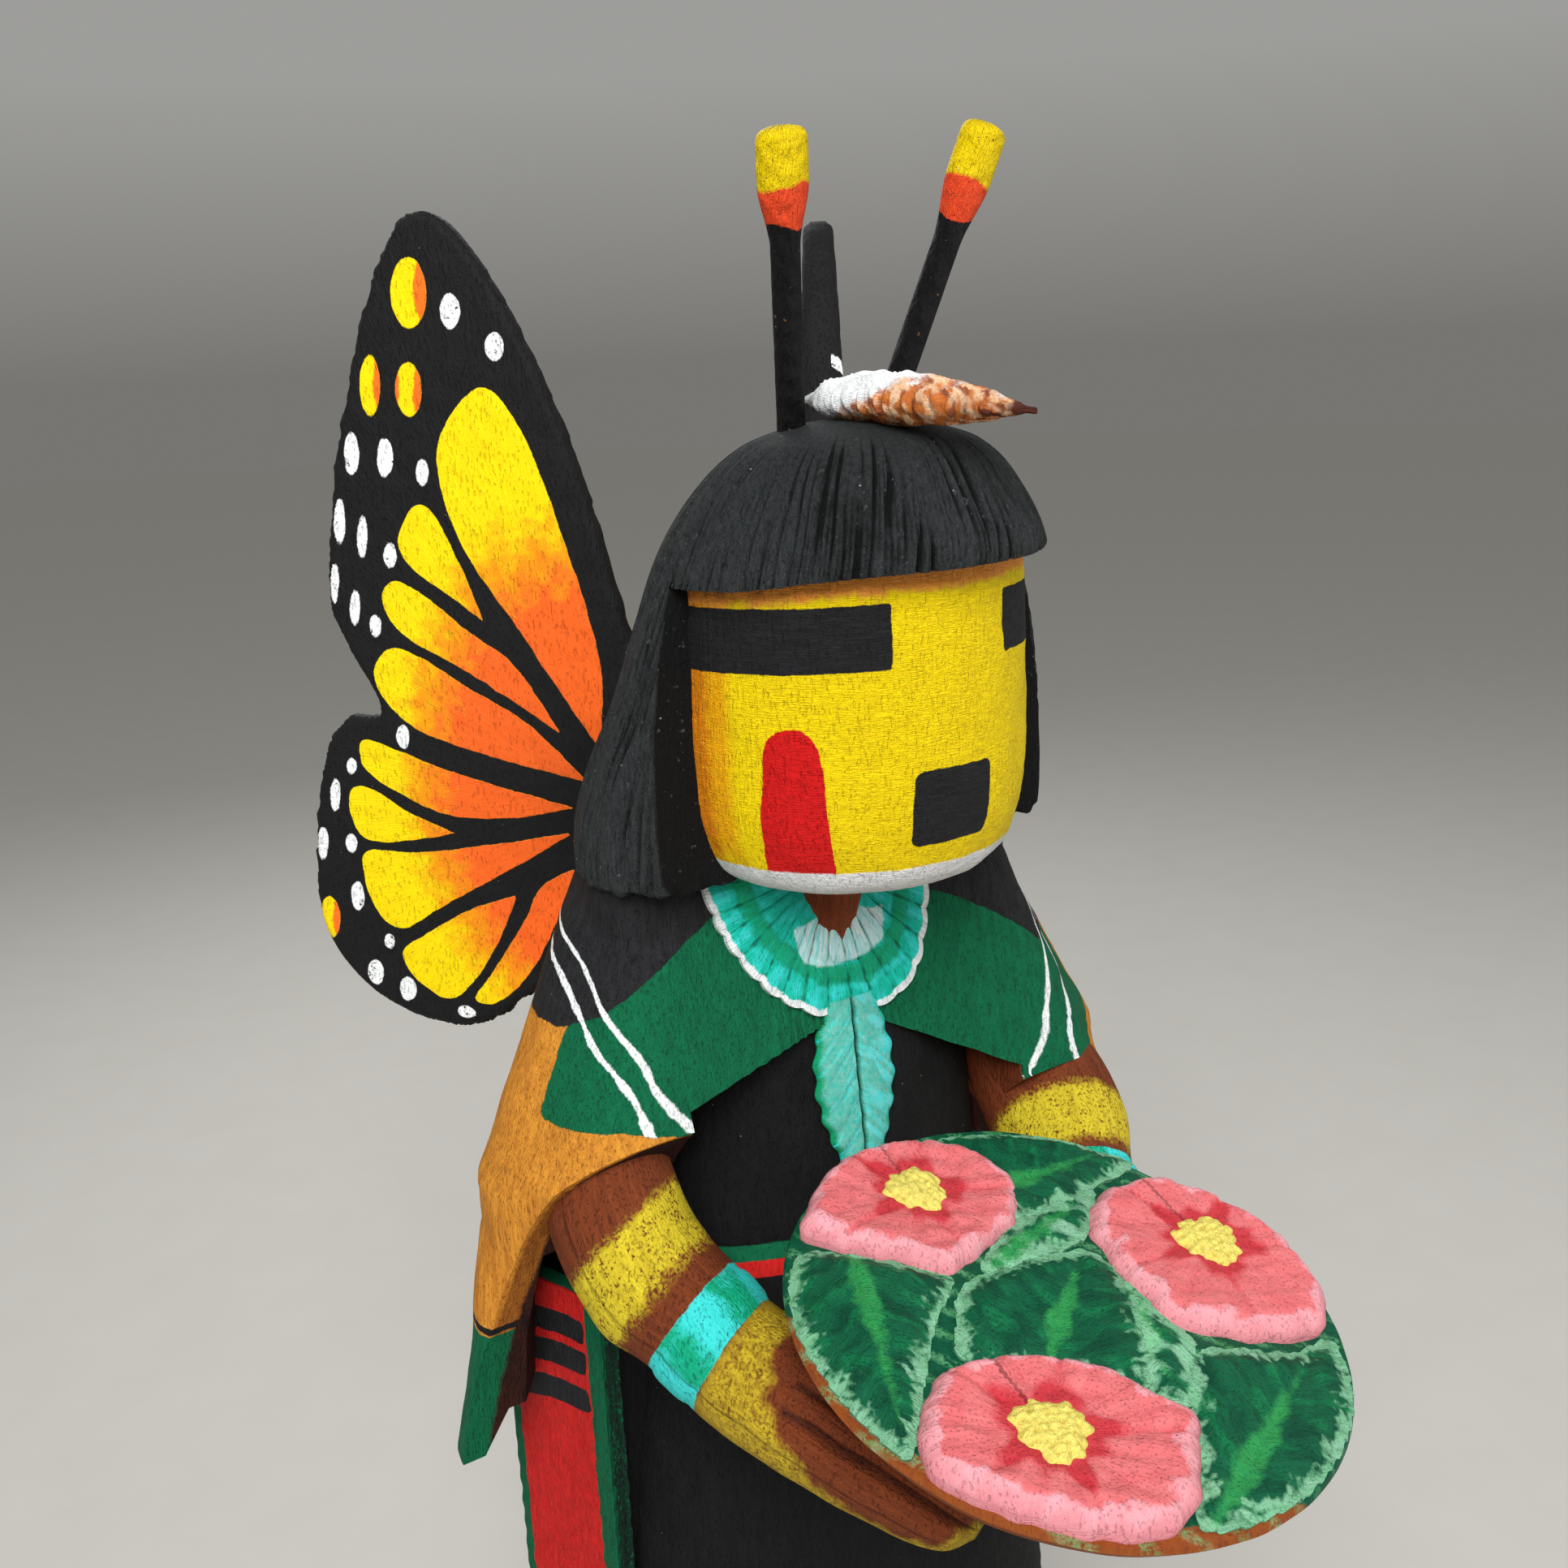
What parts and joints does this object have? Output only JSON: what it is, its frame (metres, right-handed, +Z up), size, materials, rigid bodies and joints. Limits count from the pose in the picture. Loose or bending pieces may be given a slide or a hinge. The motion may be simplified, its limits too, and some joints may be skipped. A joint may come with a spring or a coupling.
{
  "type": "carved kachina doll",
  "caption": "Painted wooden kachina doll with butterfly wings and feelers, in a cape, holding out a shallow plaque of carved flowers on a round base.",
  "frame": {"origin": "centre of the base's round underside", "axes": "+Z up, the doll faces -Y, its own left hand is at +X"},
  "size_m": [0.097, 0.1244, 0.2414],
  "materials": {
    "figure_paint": "matte brushed paint on carved root",
    "plaque_paint": "matte brushed paint on carved root",
    "wing_paint": "matte brushed paint on a thin board",
    "antenna_paint": "matte paint on whittled sticks",
    "feather_paint": "matte paint on carved root",
    "base_wood": "bare sanded root"
  },
  "bodies": {
    "root": {"carved_figure": "figure_paint", "flower_plaque": "plaque_paint", "wing_right": "wing_paint", "wing_left": "wing_paint", "antenna_right": "antenna_paint", "antenna_left": "antenna_paint", "crown_feather": "feather_paint", "base": "base_wood"}
  },
  "joints": []
}
